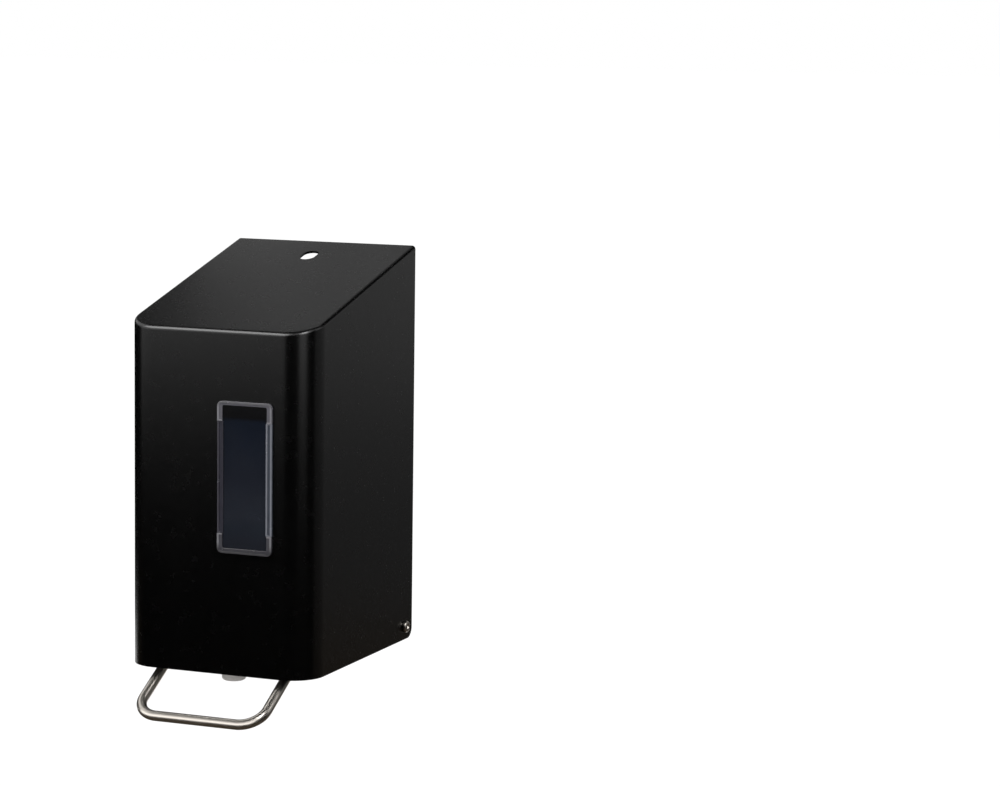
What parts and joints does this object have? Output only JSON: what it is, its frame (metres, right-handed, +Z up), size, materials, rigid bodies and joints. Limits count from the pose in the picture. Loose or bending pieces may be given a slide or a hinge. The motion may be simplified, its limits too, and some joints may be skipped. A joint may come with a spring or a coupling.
{
  "type": "soap dispenser",
  "caption": "Wall-mounted soap dispenser: black sheet-metal cover with a sloping roof, clear window, key latch, bent-rod push lever and a piston pump under a bottle.",
  "frame": {"origin": "middle of the four wall holes, on the back plate's wall face", "axes": "+X to the right seen from the front, +Y into the wall, +Z up"},
  "size_m": [0.1248, 0.1754, 0.266],
  "materials": {
    "black_paint": "satin powder coat",
    "plated_steel": "zinc plated",
    "stainless": "polished",
    "clear_plastic": "clear",
    "smoke_plastic": "smooth",
    "white_plastic": "moulded",
    "milky_plastic": "translucent",
    "dark_plastic": "moulded",
    "black_rubber": "matt",
    "red_silicone": "matt"
  },
  "bodies": {
    "wall_unit": {"back_plate": "plated_steel", "hinge_screws": "stainless", "hinge_nuts": "plated_steel", "bottle_shelf": "plated_steel", "shelf_screws": "plated_steel", "bottle": "smoke_plastic", "filler_ring": "smoke_plastic", "filler_cap": "dark_plastic", "neck_seal": "black_rubber", "pump_body": "white_plastic", "pump_gland": "dark_plastic", "pump_screws": "plated_steel", "inlet_valve": "red_silicone", "return_spring": "stainless", "nozzle": "milky_plastic", "nozzle_collar": "white_plastic", "outlet_valve": "red_silicone", "latch_housing": "white_plastic", "latch_screws": "plated_steel", "latch_spring": "stainless"},
    "cover": {"cover": "black_paint", "window": "clear_plastic", "window_retainer": "dark_plastic", "hinge_bushes": "white_plastic", "latch_keepers": "plated_steel", "lever_brackets": "plated_steel", "lever_pins": "stainless", "pin_clips": "plated_steel"},
    "lever": {"lever_rod": "stainless", "lever_yoke": "dark_plastic", "yoke_bushes": "white_plastic", "rod_set_screws": "plated_steel"},
    "piston": {"piston": "dark_plastic", "piston_seal": "black_rubber"},
    "latch": {"latch": "white_plastic"}
  },
  "joints": [
    {"name": "cover_hinge", "type": "hinge", "parent": "wall_unit", "child": "cover", "pos_m": [0, -0.012, -0.1039], "axis": [1, 0, 0], "range_deg": [0, 70]},
    {"name": "lever_pivot", "type": "hinge", "parent": "cover", "child": "lever", "pos_m": [0, -0.122, -0.058], "axis": [1, 0, 0], "range_deg": [0, 20], "stiffness_Nm_per_rad": 0.6, "springref_deg": -20.05},
    {"name": "piston_slide", "type": "slide", "parent": "wall_unit", "child": "piston", "axis": [0, 1, 0], "range_m": [0, 0.00925], "deforming": ["return_spring"]},
    {"name": "latch_slide", "type": "slide", "parent": "wall_unit", "child": "latch", "axis": [0, 0, -1], "range_m": [0, 0.006], "stiffness_N_per_m": 300, "springref_m": -0.004, "deforming": ["latch_spring"]}
  ],
  "couplings": [
    {"joint": "piston_slide", "follows": "lever_pivot", "m_per_rad": 0.02647}
  ]
}
